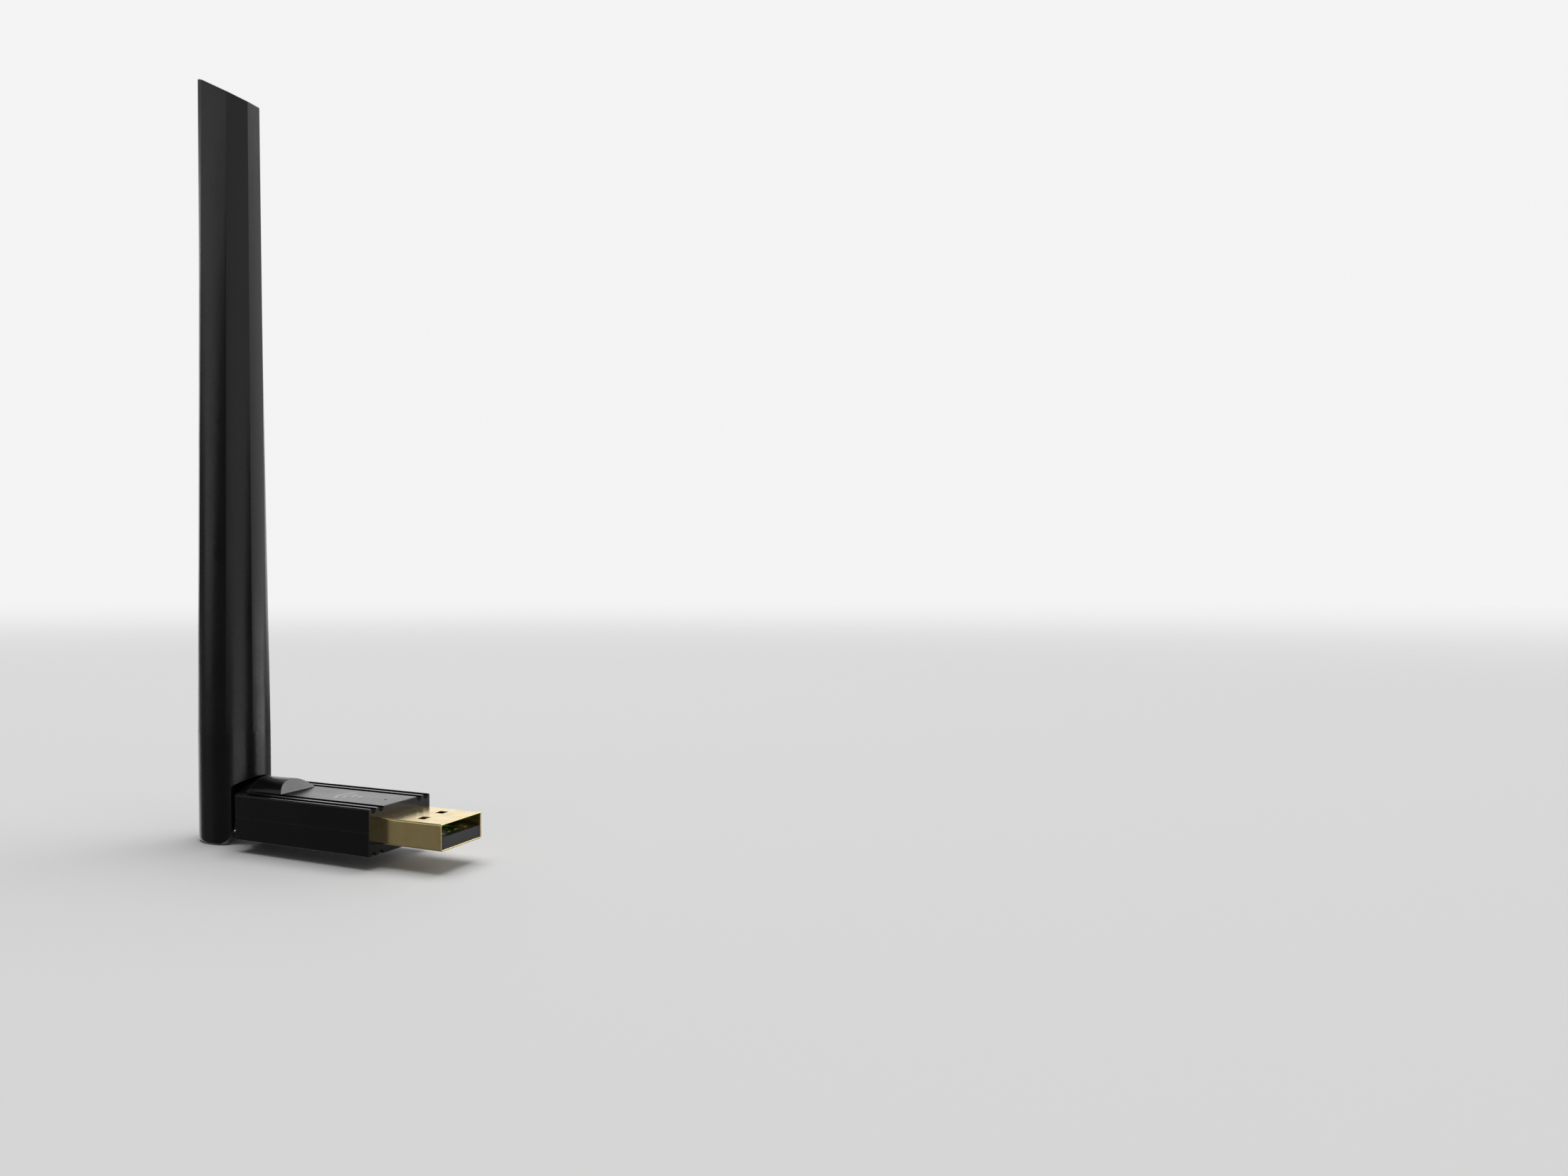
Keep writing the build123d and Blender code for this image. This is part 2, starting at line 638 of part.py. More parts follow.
def foot_clearance():
    """Flat on the side towards the case, with a slanted run-out and a rounded lower corner."""
    flat_x = FOLD_X + FOOT_FLAT
    far_x = FOLD_X + 12
    low = FOOT_BOTTOM_Z - 1
    corner = FOOT_BOTTOM_Z + FOOT_CORNER_RADIUS
    outline = Polyline(
        (flat_x - FOOT_CORNER_RADIUS, low),
        (far_x, low),
        (far_x, FOOT_FULL_Z),
        (FOLD_X + FOOT_RADIUS_X, FOOT_FULL_Z),
        (flat_x, FOOT_FLAT_TOP_Z),
        (flat_x, corner),
    )
    rounding = RadiusArc((flat_x, corner), (flat_x - FOOT_CORNER_RADIUS, FOOT_BOTTOM_Z), FOOT_CORNER_RADIUS)
    closing = Line((flat_x - FOOT_CORNER_RADIUS, FOOT_BOTTOM_Z), (flat_x - FOOT_CORNER_RADIUS, low))
    face = make_face([outline, rounding, closing])
    inner_corner = face.vertices().sort_by_distance((flat_x, FOOT_FLAT_TOP_Z, 0))[0]
    face = fillet(inner_corner, FOOT_INNER_RADIUS)
    plane = Plane(origin=(0, 12, 0), x_dir=(1, 0, 0), z_dir=(0, -1, 0))
    return extrude(plane * face, amount=24)


def antenna_base():
    """Forked foot: two cheeks round the knuckle's eye, and a hollow spigot for the sleeve."""
    foot = elliptic_post(FOOT_RADIUS_X, FOOT_RADIUS_Y, FOOT_BOTTOM_Z, FOOT_TOP_Z)
    foot = fillet(foot.edges().group_by(Axis.Z)[0], FOOT_EDGE_RADIUS)
    foot -= foot_clearance()
    foot += elliptic_post(SPIGOT_RADIUS_X, SPIGOT_RADIUS_Y, FOOT_TOP_Z, SPIGOT_TOP_Z)
    foot -= elliptic_post(FOOT_CORE_RADIUS_X, FOOT_CORE_RADIUS_Y, FOOT_CORE_FLOOR_Z, SPIGOT_TOP_Z + 1)
    half_fork = TONGUE_HALF_WIDTH + FORK_CLEARANCE
    foot -= block(
        (FOLD_X - FORK_BACK, FOLD_X + 12), (-half_fork, half_fork), (FOOT_BOTTOM_Z - 1, FORK_TOP_Z)
    )
    socket_depth = half_fork + TRUNNION_LENGTH
    foot -= y_cylinder(TRUNNION_RADIUS + TRUNNION_CLEARANCE, -socket_depth, socket_depth, FOLD_X)
    foot -= z_cylinder(CABLE_PORT_RADIUS, 0, FOOT_CORE_FLOOR_Z + 1, FOLD_X)
    foot -= radiator_space(0.1)
    return one_solid(foot)


def radiator_space(gap):
    """Block of the radiator board, grown by a gap."""
    half_width = RADIATOR_WIDTH / 2 + gap
    return block(
        (FOLD_X - half_width, FOLD_X + half_width),
        (-COAX_RADIUS - RADIATOR_THICKNESS - gap, -COAX_RADIUS + gap),
        (RADIATOR_BOTTOM_Z, RADIATOR_TOP_Z),
    )


def copper_strip(x_range, z_range):
    """Copper on the face that the coax lies on, placed from the antenna's axis."""
    return block(
        (FOLD_X + x_range[0], FOLD_X + x_range[1]),
        (-COAX_RADIUS, -COAX_RADIUS + COPPER_THICKNESS),
        z_range,
    )


def copper_ring(z_low, z_high):
    """Closed rectangular track, the upper arm of a dipole."""
    inner_half_width = COPPER_HALF_WIDTH - COPPER_TRACK
    outer = copper_strip((-COPPER_HALF_WIDTH, COPPER_HALF_WIDTH), (z_low, z_high))
    middle = copper_strip(
        (-inner_half_width, inner_half_width), (z_low + COPPER_TRACK, z_high - COPPER_TRACK)
    )
    return outer - middle


def radiator_copper():
    """Two rings above the feed point and two earth strips beside the coax below it."""
    rings = copper_ring(FEED_PAD_Z, LOWER_RING_TOP_Z) + copper_ring(*UPPER_RING_Z)
    link_x = (-COPPER_LINK_HALF_WIDTH, COPPER_LINK_HALF_WIDTH)
    rings += copper_strip(link_x, (LOWER_RING_TOP_Z, UPPER_RING_Z[0]))
    earth = copper_strip((EARTH_STRIP_X, COPPER_HALF_WIDTH), EARTH_STRIP_Z)
    return [one_solid(rings), *mirror_about_fold(earth)]


def antenna_coax():
    """Straight coax up the foot and along the radiator board to its feed point."""
    return one_solid(z_cylinder(COAX_RADIUS, COAX_FOLD_GAP, COAX_FEED_Z, FOLD_X))


def antenna_coax_solder():
    """Solder joints of the coax's core and braid on the radiator board."""
    face_y = -COAX_RADIUS
    core = block(
        (FOLD_X - SOLDER_WIDTH / 2, FOLD_X + SOLDER_WIDTH / 2),
        (face_y, face_y + SOLDER_HEIGHT),
        (COAX_FEED_Z, FEED_PAD_Z),
    )
    braid = block(
        (FOLD_X + COAX_RADIUS, FOLD_X + EARTH_STRIP_X),
        (face_y, face_y + BRAID_SOLDER_HEIGHT),
        BRAID_SOLDER_Z,
    )
    return [one_solid(core), *mirror_about_fold(braid)]


def mirror_about_fold(shape):
    """The shape and its mirror image on the other side of the antenna's axis."""
    middle = Plane(origin=(FOLD_X, 0, 0), z_dir=(1, 0, 0))
    return [one_solid(shape), one_solid(mirror(shape, about=middle))]


def main():
    os.makedirs("parts", exist_ok=True)
    upper, lower = shells()
    write("upper_shell", upper)
    write("lower_shell", lower)
    write("usb_plug_shell", usb_plug_shell())
    write("usb_insulator", usb_insulator())
    write("usb_contacts", *usb_contacts())
    write("main_pcb", main_pcb())
    for name, place_and_size in CHIPS.items():
        write(name, chip(*place_and_size))
    write("rf_shield_can", rf_shield_can())
    write("chip_passives", *chip_passives())
    write("status_led", status_led())
    write("led_light_pipe", led_light_pipe())
    write("body_coax", body_coax())
    write("body_coax_solder", *body_coax_solder())
    write("swivel_knuckle", swivel_knuckle())
    write("swivel_friction_ring", swivel_friction_ring())
    write("knuckle_coax", knuckle_coax())
    write("antenna_base", antenna_base())
    write("antenna_sleeve", antenna_sleeve())
    write("antenna_coax", antenna_coax())
    write("radiator_board", one_solid(radiator_space(0)))
    write("radiator_copper", *radiator_copper())
    write("antenna_coax_solder", *antenna_coax_solder())


main()
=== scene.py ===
import json
import math

import bmesh
import bpy
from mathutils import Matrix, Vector


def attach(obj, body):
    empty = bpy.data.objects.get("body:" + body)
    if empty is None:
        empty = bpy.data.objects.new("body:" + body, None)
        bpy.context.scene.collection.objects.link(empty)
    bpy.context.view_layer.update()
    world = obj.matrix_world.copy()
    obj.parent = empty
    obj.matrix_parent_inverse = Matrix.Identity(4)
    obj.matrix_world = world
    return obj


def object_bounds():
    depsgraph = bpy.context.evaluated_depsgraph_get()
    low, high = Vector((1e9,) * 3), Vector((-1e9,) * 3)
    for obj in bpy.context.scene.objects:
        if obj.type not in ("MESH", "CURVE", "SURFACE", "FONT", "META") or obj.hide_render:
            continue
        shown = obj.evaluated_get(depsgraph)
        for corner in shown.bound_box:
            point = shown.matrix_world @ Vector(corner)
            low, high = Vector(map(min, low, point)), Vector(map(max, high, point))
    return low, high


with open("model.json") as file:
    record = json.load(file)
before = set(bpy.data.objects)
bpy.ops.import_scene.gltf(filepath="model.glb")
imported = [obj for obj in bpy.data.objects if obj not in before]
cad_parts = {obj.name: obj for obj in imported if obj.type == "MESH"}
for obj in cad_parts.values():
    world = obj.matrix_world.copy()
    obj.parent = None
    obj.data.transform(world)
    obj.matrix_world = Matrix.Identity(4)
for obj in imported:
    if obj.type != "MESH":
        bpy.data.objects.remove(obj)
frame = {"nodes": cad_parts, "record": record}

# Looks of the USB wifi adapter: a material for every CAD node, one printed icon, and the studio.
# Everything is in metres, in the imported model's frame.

MM = 0.001
CAD_LOW, CAD_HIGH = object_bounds()

# ---------------------------------------------------------------- camera and studio
CAMERA_PLACE = (114.10 * MM, -151.04 * MM, 39.39 * MM)
CAMERA_PITCH = math.radians(-1.754)
CAMERA_YAW = math.radians(27.146)
CAMERA_LENS = 24.737
CAMERA_SENSOR = 36.0
CAMERA_SHIFT = (0.125, 0.02735)
CAMERA_NEAREST = 0.005

FLOOR_RADIUS = 8.0
FLOOR_FADE = 0.75
FLOOR_COLOR = (0.88, 0.88, 0.88)
BACKDROP_COLOR = (0.90, 0.90, 0.90)

# Brightness of the room's walls. The bright back wall fades in along +Y, above its foot and below its
# top. Foot and top are heights of the direction looked in, along +Z and along WALL_RISE.
ROOM_FRONT = 0.115
ROOM_BACK = 1.10
ROOM_BELOW = 0.10
ROOM_ABOVE = 0.12
WALL_SIDES = (0.0, 0.6)
WALL_FOOT = (-0.09, 0.02)
WALL_TOP = (0.46, 0.62)
WALL_RISE = (-0.25, 0.0, 1.0)

# Points that the softboxes face
ADAPTER_MIDDLE = (-0.020, 0.0, 0.060)
HOOD_FACE = (-0.024, 0.0, 0.005)
HOOD_SIDE = (-0.027, 0.0, 0.005)

# Each strip's name, azimuth from +X and elevation, in degrees
STRIPS = (("strip_back", 145, 34), ("strip_side", 167, 45), ("strip_front", -166, 46))
STRIP_DISTANCE = 1.0
STRIP_SIZE = (0.12, 0.12)
STRIP_BRIGHTNESS = 1.2

# ---------------------------------------------------------------- printed icon
ICON_PLACE = -11.2 * MM
ICON_DOT_RADIUS = 0.62 * MM
ICON_WAVE_RADII = (1.75 * MM, 3.15 * MM, 4.55 * MM)
ICON_WAVE_WIDTH = 0.72 * MM
ICON_HALF_ANGLE = math.radians(43)
ICON_ARC_STEPS = 48
ICON_DOT_STEPS = 32
INK_THICKNESS = 0.012 * MM

# ---------------------------------------------------------------- details of the materials
PLASTIC_WEAR_WIDTH = 0.35 * MM
PLASTIC_WEAR_PATCH = 1.6 * MM
PLASTIC_WEAR_SHARE = 0.55
PLASTIC_CLOUD = 9.0 * MM
PLASTIC_WAVE = 14.0 * MM
PLASTIC_WAVE_DEPTH = 0.05 * MM

METAL_EDGE_ROUNDING = 0.16 * MM
METAL_EDGE_WIDTH = 0.12 * MM
METAL_LINE = 0.05 * MM
METAL_LINE_STRETCH = (30.0, 1.0, 1.0)
METAL_LINE_DEPTH = 0.002 * MM
METAL_STAIN = 2.6 * MM
METAL_WAVE = 3.5 * MM
METAL_WAVE_DEPTH = 0.02 * MM

WEAVE_BANDS = 900.0
WEAVE_DEPTH = 0.006 * MM
BOARD_CLOUD = 3.0 * MM
BOARD_EDGE_WIDTH = 0.15 * MM
BOARD_EDGE_COLOR = (0.25, 0.30, 0.16)

FIRED_CLOUD = 0.8 * MM
FIRED_PIT_DEPTH = 0.006 * MM
FIRED_EDGE_WIDTH = 0.06 * MM
FIRED_EDGE_DEPTH = 0.004 * MM

RESIN_CLOUD = 0.35 * MM
RESIN_CLOUD_DEPTH = 0.003 * MM
RESIN_SCATTER = 0.4 * MM

JACKET_LINE = 0.12 * MM
JACKET_LINE_STRETCH = (1.0, 1.0, 8.0)
JACKET_LINE_DEPTH = 0.006 * MM
JACKET_BLOOM = 1.1 * MM

SOLDER_FROST = 0.25 * MM
SOLDER_FROST_DEPTH = 0.02 * MM

INK_GRAIN = 0.18 * MM
INK_GRAIN_DEPTH = 0.004 * MM


# ---------------------------------------------------------------- materials
class Surface:
    """A procedural material. Sizes are in metres on the piece itself."""

    def __init__(self, name, color, roughness, metallic=0.0, ior=1.45, coat=0.0):
        self.material = bpy.data.materials.new(name)
        self.material.use_nodes = True
        self.nodes = self.material.node_tree.nodes
        self.links = self.material.node_tree.links
        self.shader = self.nodes["Principled BSDF"]
        self.set("Base Color", (*color, 1.0))
        self.set("Roughness", roughness)
        self.set("Metallic", metallic)
        self.set("IOR", ior)
        self.set("Coat Weight", coat)
        self.place = self.nodes.new("ShaderNodeTexCoord").outputs["Object"]

    def set(self, socket, value):
        """Gives one of the shader's own sockets a value that is the same all over."""
        self.shader.inputs[socket].default_value = value

    def feed(self, socket, source):
        """Lets a pattern drive one of the shader's sockets."""
        self.links.new(source, self.shader.inputs[socket])

    def node(self, kind, links, **values):
        """Adds a node, sets its unlinked inputs by name and links the rest."""
        made = self.nodes.new(kind)
        for name, value in values.items():
            made.inputs[name.replace("_", " ")].default_value = value
        for socket, source in links.items():
            self.links.new(source, made.inputs[socket])
        return made

    def scaled_place(self, size, stretch=(1.0, 1.0, 1.0)):
        """The place on the piece, counted in steps of size times stretch."""
        mapped = self.node("ShaderNodeMapping", {"Vector": self.place})
        mapped.inputs["Scale"].default_value = [1.0 / (size * share) for share in stretch]
        return mapped.outputs["Vector"]

    def noise(self, size, detail=2.0, stretch=(1.0, 1.0, 1.0)):
        """Cloudy noise, 0 to 1, whose blobs are about size across, times stretch."""
        place = self.scaled_place(size, stretch)
        return self.node("ShaderNodeTexNoise", {"Vector": place}, Scale=1.0, Detail=detail).outputs["Fac"]

    def cells(self, size):
        """Distance to the nearest of many random points, 0 to about 1."""
        made = self.node("ShaderNodeTexVoronoi", {"Vector": self.scaled_place(size)}, Scale=1.0)
        return made.outputs["Distance"]

    def bands(self, direction):
        """Wavy bands across X or Y, 0 to 1, as fine as glass cloth."""
        made = self.node("ShaderNodeTexWave", {"Vector": self.place}, Scale=WEAVE_BANDS, Distortion=0.6)
        made.bands_direction = direction
        return made.outputs["Fac"]

    def spread(self, source, low, high, start=0.3, end=0.7):
        """Maps source from start..end, where most of a noise lies, to low..high, held at the ends."""
        made = self.node("ShaderNodeMapRange", {"Value": source},
                         From_Min=start, From_Max=end, To_Min=low, To_Max=high)
        return made.outputs["Result"]

    def blend(self, share, first, second):
        """A colour between first and second, which are colours or sockets."""
        made = self.nodes.new("ShaderNodeMix")
        made.data_type = "RGBA"
        self.links.new(share, made.inputs["Factor"])
        for socket, color in ((made.inputs[6], first), (made.inputs[7], second)):
            if isinstance(color, tuple):
                socket.default_value = (*color, 1.0)
            else:
                self.links.new(color, socket)
        return made.outputs[2]

    def math(self, operation, first, second):
        """The result of operation on two numbers or sockets."""
        made = self.nodes.new("ShaderNodeMath")
        made.operation = operation
        for socket, value in zip(made.inputs, (first, second)):
            if isinstance(value, (int, float)):
                socket.default_value = value
            else:
                self.links.new(value, socket)
        return made.outputs["Value"]

    def rounded_normal(self, radius, samples):
        """The surface's normal, with its edges rounded to radius."""
        made = self.nodes.new("ShaderNodeBevel")
        made.samples = samples
        made.inputs["Radius"].default_value = radius
        return made.outputs["Normal"]

    def edges(self, width):
        """0 on open faces, rising to 1 along outer and inner edges."""
        flat = self.nodes.new("ShaderNodeNewGeometry").outputs["Normal"]
        facing = self.nodes.new("ShaderNodeVectorMath")
        facing.operation = "DOT_PRODUCT"
        self.links.new(self.rounded_normal(width, samples=4), facing.inputs[0])
        self.links.new(flat, facing.inputs[1])
        return self.spread(facing.outputs["Value"], 1.0, 0.0, 0.82, 0.995)

    def round_edges(self, radius):
        """Lets sharp edges catch the light as if rounded; comes before any bump."""
        self.feed("Normal", self.rounded_normal(radius, samples=8))

    def bump(self, height, distance, strength=1.0):
        """Adds height (0 to 1) times distance in metres on top of any earlier bump."""
        made = self.node("ShaderNodeBump", {"Height": height}, Strength=strength, Distance=distance)
        earlier = self.shader.inputs["Normal"]
        if earlier.is_linked:
            self.links.new(earlier.links[0].from_socket, made.inputs["Normal"])
        self.links.new(made.outputs["Normal"], earlier)


def scaled(color, share):
    """A colour with each channel times share."""
    return tuple(share * channel for channel in color)


def moulded_plastic(name, color, worn, roughness, grain, grain_depth, ior=1.45):
    """Moulded plastic: fine grain, cloudy gloss, and edges rubbed a little lighter and smoother."""
    surface = Surface(name, color, roughness, ior=ior)
    patches = surface.spread(surface.noise(PLASTIC_WEAR_PATCH), 0.2, 1.0)
    edge = surface.math("MULTIPLY", surface.edges(PLASTIC_WEAR_WIDTH), patches)
    cloud = surface.noise(PLASTIC_CLOUD, detail=4.0)
    fine = surface.noise(grain, detail=3.0)
    tone = surface.blend(surface.spread(cloud, 0.0, 1.0), color, scaled(color, 1.35))
    worn_share = surface.math("MULTIPLY", edge, PLASTIC_WEAR_SHARE)
    surface.feed("Base Color", surface.blend(worn_share, tone, worn))
    gloss = surface.math("ADD", surface.spread(cloud, roughness - 0.04, roughness + 0.04),
                         surface.spread(fine, -0.05, 0.05))
    polish = surface.math("MULTIPLY", edge, 0.10)
    surface.feed("Roughness", surface.math("SUBTRACT", gloss, polish))
    surface.bump(fine, grain_depth)
    surface.bump(surface.noise(PLASTIC_WAVE, detail=1.0), PLASTIC_WAVE_DEPTH, 0.3)
    return surface.material


def plated_metal(name, color, stained, roughness):
    """Plated sheet metal: rounded edges, fine drawn lines, faint stains and a slow waviness."""
    surface = Surface(name, color, roughness, metallic=1.0)
    surface.round_edges(METAL_EDGE_ROUNDING)
    drawn = surface.noise(METAL_LINE, detail=3.0, stretch=METAL_LINE_STRETCH)
    stain = surface.noise(METAL_STAIN, detail=5.0)
    surface.feed("Base Color", surface.blend(surface.spread(stain, 0.0, 0.45, 0.42, 0.75), color, stained))
    gloss = surface.math("ADD", surface.spread(stain, roughness - 0.03, roughness + 0.05),
                         surface.spread(drawn, -0.04, 0.04))
    polish = surface.math("MULTIPLY", surface.edges(METAL_EDGE_WIDTH), 0.06)
    surface.feed("Roughness", surface.math("SUBTRACT", gloss, polish))
    surface.bump(drawn, METAL_LINE_DEPTH)
    surface.bump(surface.noise(METAL_WAVE, detail=1.0), METAL_WAVE_DEPTH, 0.22)
    return surface.material


def circuit_board(name, mask, weave_tone):
    """Green solder mask over woven glass cloth, with a slightly paler cut edge."""
    surface = Surface(name, mask, 0.28, ior=1.5, coat=0.2)
    weave = surface.math("MULTIPLY", surface.bands("X"), surface.bands("Y"))
    tone = surface.blend(surface.spread(weave, 0.0, 0.5, 0.0, 1.0), mask, weave_tone)
    edge_share = surface.math("MULTIPLY", surface.edges(BOARD_EDGE_WIDTH), 0.5)
    surface.feed("Base Color", surface.blend(edge_share, tone, BOARD_EDGE_COLOR))
    surface.feed("Roughness", surface.spread(surface.noise(BOARD_CLOUD, detail=3.0), 0.22, 0.36))
    surface.bump(weave, WEAVE_DEPTH)
    return surface.material


def fired_body(name, color, speckle, roughness, grain):
    """Ferrite, ceramic or moulding compound: speckled, matt and slightly pitted."""
    surface = Surface(name, color, roughness)
    speck = surface.cells(grain)
    cloud = surface.noise(FIRED_CLOUD, detail=3.0)
    surface.feed("Base Color", surface.blend(surface.spread(speck, 1.0, 0.0, 0.1, 0.6), color, speckle))
    surface.feed("Roughness", surface.spread(cloud, roughness - 0.07, roughness + 0.07))
    surface.bump(speck, FIRED_PIT_DEPTH)
    surface.bump(surface.edges(FIRED_EDGE_WIDTH), FIRED_EDGE_DEPTH)
    return surface.material


def cast_resin(name, color, clearness, roughness):
    """Milky or clear cast resin with faint clouds inside and a polished face."""
    surface = Surface(name, color, roughness, ior=1.49)
    surface.set("Transmission Weight", clearness)
    surface.set("Subsurface Weight", 0.25 * (1.0 - clearness))
    surface.set("Subsurface Scale", RESIN_SCATTER)
    cloud = surface.noise(RESIN_CLOUD, detail=4.0)
    surface.feed("Base Color", surface.blend(surface.spread(cloud, 0.0, 0.35), color, scaled(color, 0.8)))
    surface.feed("Roughness", surface.spread(cloud, roughness, roughness + 0.10))
    surface.bump(cloud, RESIN_CLOUD_DEPTH)
    return surface.material


def soft_jacket(name, color, dusty, roughness):
    """Extruded cable jacket or rubber: faint lengthwise drawing, dust and a dull bloom."""
    surface = Surface(name, color, roughness)
    drawn = surface.noise(JACKET_LINE, stretch=JACKET_LINE_STRETCH)
    bloom = surface.noise(JACKET_BLOOM, detail=5.0)
    surface.feed("Base Color", surface.blend(surface.spread(bloom, 0.0, 0.5), color, dusty))
    gloss = surface.math("ADD", surface.spread(bloom, roughness - 0.05, roughness + 0.07),
                         surface.spread(drawn, -0.03, 0.03))
    surface.feed("Roughness", gloss)
    surface.bump(drawn, JACKET_LINE_DEPTH)
    return surface.material


def solder_metal(name):
    """Solder: bright, with grey frosted patches."""
    bright = (0.78, 0.77, 0.75)
    frosted = (0.45, 0.45, 0.44)
    surface = Surface(name, bright, 0.25, metallic=1.0)
    frost = surface.noise(SOLDER_FROST, detail=5.0)
    surface.feed("Base Color", surface.blend(surface.spread(frost, 0.0, 0.8), bright, frosted))
    surface.feed("Roughness", surface.spread(frost, 0.16, 0.45))
    surface.bump(frost, SOLDER_FROST_DEPTH)
    return surface.material


def printed_ink(name):
    """Screen-printed ink: light grey, slightly uneven, with a soft satin face."""
    thick = (0.56, 0.57, 0.58)
    thin = (0.30, 0.31, 0.32)
    surface = Surface(name, thick, 0.5)
    coverage = surface.noise(INK_GRAIN, detail=4.0)
    surface.feed("Base Color", surface.blend(surface.spread(coverage, 0.0, 0.35), thick, thin))
    surface.feed("Roughness", surface.spread(coverage, 0.42, 0.60))
    surface.bump(coverage, INK_GRAIN_DEPTH)
    return surface.material


def plastics():
    """The moulded slots: case, antenna and the block in the plug."""
    black = (0.0028, 0.0028, 0.0029)
    return {
        "case_black": moulded_plastic("case_black", black, worn=(0.030, 0.030, 0.031), roughness=0.24,
                                      grain=0.10 * MM, grain_depth=0.0012 * MM, ior=1.38),
        "antenna_black": moulded_plastic("antenna_black", black, worn=(0.024, 0.024, 0.025), roughness=0.27,
                                         grain=0.12 * MM, grain_depth=0.0006 * MM, ior=1.46),
        "insulator_black": moulded_plastic("insulator_black", (0.036, 0.036, 0.038), worn=(0.07, 0.07, 0.07),
                                           roughness=0.30, grain=0.12 * MM, grain_depth=0.002 * MM),
    }


def metals():
    """The plated, bare and soldered slots."""
    return {
        "gold_plate": plated_metal("gold_plate", (0.84, 0.66, 0.31), (0.70, 0.53, 0.24), roughness=0.20),
        "contact_gold": plated_metal("contact_gold", (0.66, 0.38, 0.14), (0.40, 0.21, 0.08), roughness=0.18),
        "tinned_steel": plated_metal("tinned_steel", (0.70, 0.69, 0.67), (0.48, 0.47, 0.45), roughness=0.30),
        "bare_copper": plated_metal("bare_copper", (0.72, 0.34, 0.18), (0.45, 0.18, 0.09), roughness=0.28),
        "solder": solder_metal("solder"),
    }


def board_parts():
    """The board itself, its components and the light's two resins."""
    return {
        "board_green": circuit_board("board_green", mask=(0.006, 0.230, 0.008),
                                     weave_tone=(0.014, 0.320, 0.018)),
        "chip_black": fired_body("chip_black", (0.018, 0.018, 0.019), speckle=(0.032, 0.032, 0.033),
                                 roughness=0.55, grain=0.06 * MM),
        "ferrite_grey": fired_body("ferrite_grey", (0.10, 0.10, 0.105), speckle=(0.16, 0.16, 0.165),
                                   roughness=0.62, grain=0.09 * MM),
        "ceramic_tan": fired_body("ceramic_tan", (0.42, 0.27, 0.14), speckle=(0.55, 0.38, 0.22),
                                  roughness=0.50, grain=0.05 * MM),
        "led_white": cast_resin("led_white", (0.88, 0.86, 0.74), clearness=0.0, roughness=0.30),
        "light_pipe": cast_resin("light_pipe", (0.80, 0.84, 0.86), clearness=0.85, roughness=0.08),
    }


def jackets():
    """The coax's jacket and the friction ring's rubber."""
    return {
        "coax_jacket": soft_jacket("coax_jacket", (0.020, 0.020, 0.021), dusty=(0.045, 0.045, 0.046),
                                   roughness=0.42),
        "ring_rubber": soft_jacket("ring_rubber", (0.016, 0.016, 0.016), dusty=(0.040, 0.040, 0.039),
                                   roughness=0.66),
    }


def dress_nodes():
    """Makes one material for each of the record's slots and puts it on the CAD nodes that use it."""
    materials = {**plastics(), **metals(), **board_parts(), **jackets()}
    for node in frame["nodes"].values():
        for slot in node.material_slots:
            slot.material = materials[slot.material.name.split(".")[0]]


# ---------------------------------------------------------------- printed icon
def around(centre, radius, angle, z):
    """The point at radius and angle round a centre, at height z."""
    return (centre.x + radius * math.cos(angle), centre.y + radius * math.sin(angle), z)


def add_band(shape, centre, inner, outer, start, end, bottom, top):
    """A thin flat arc from angle start to end, as a closed solid."""
    corners = ((inner, bottom), (outer, bottom), (outer, top), (inner, top))
    sections = []
    for i in range(ICON_ARC_STEPS + 1):
        angle = start + (end - start) * i / ICON_ARC_STEPS
        sections.append([shape.verts.new(around(centre, radius, angle, z)) for radius, z in corners])
    for section, after in zip(sections, sections[1:]):
        for i in range(4):
            j = (i + 1) % 4
            shape.faces.new((section[i], section[j], after[j], after[i]))
    shape.faces.new(sections[0])
    shape.faces.new(sections[-1])


def add_disc(shape, centre, radius, bottom, top):
    """A thin disc, as a closed solid."""
    angles = [2 * math.pi * i / ICON_DOT_STEPS for i in range(ICON_DOT_STEPS)]
    low = [shape.verts.new(around(centre, radius, angle, bottom)) for angle in angles]
    high = [shape.verts.new(around(centre, radius, angle, top)) for angle in angles]
    shape.faces.new(low)
    shape.faces.new(high)
    for i in range(ICON_DOT_STEPS):
        j = (i + 1) % ICON_DOT_STEPS
        shape.faces.new((low[i], low[j], high[j], high[i]))


def add_icon(shape):
    """A plain wireless symbol: a dot and three waves that open away from the plug."""
    panel = next(mount for mount in frame["record"]["mounts"] if mount["name"] == "top_panel")
    bottom = panel["pos_m"][2]
    top = bottom + INK_THICKNESS
    dot = Vector((ICON_PLACE + ICON_WAVE_RADII[-1] / 2, 0.0, 0.0))
    start, end = math.pi - ICON_HALF_ANGLE, math.pi + ICON_HALF_ANGLE
    add_disc(shape, dot, ICON_DOT_RADIUS, bottom, top)
    for radius in ICON_WAVE_RADII:
        add_band(shape, dot, radius - ICON_WAVE_WIDTH, radius, start, end, bottom, top)


def make_icon():
    """The icon printed on the top panel, a piece that rides on the adapter."""
    mesh = bpy.data.meshes.new("panel_icon")
    shape = bmesh.new()
    add_icon(shape)
    bmesh.ops.recalc_face_normals(shape, faces=shape.faces)
    shape.to_mesh(mesh)
    shape.free()
    mesh.materials.append(printed_ink("icon_ink"))
    icon = bpy.data.objects.new("panel_icon", mesh)
    bpy.context.scene.collection.objects.link(icon)
    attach(icon, "adapter")


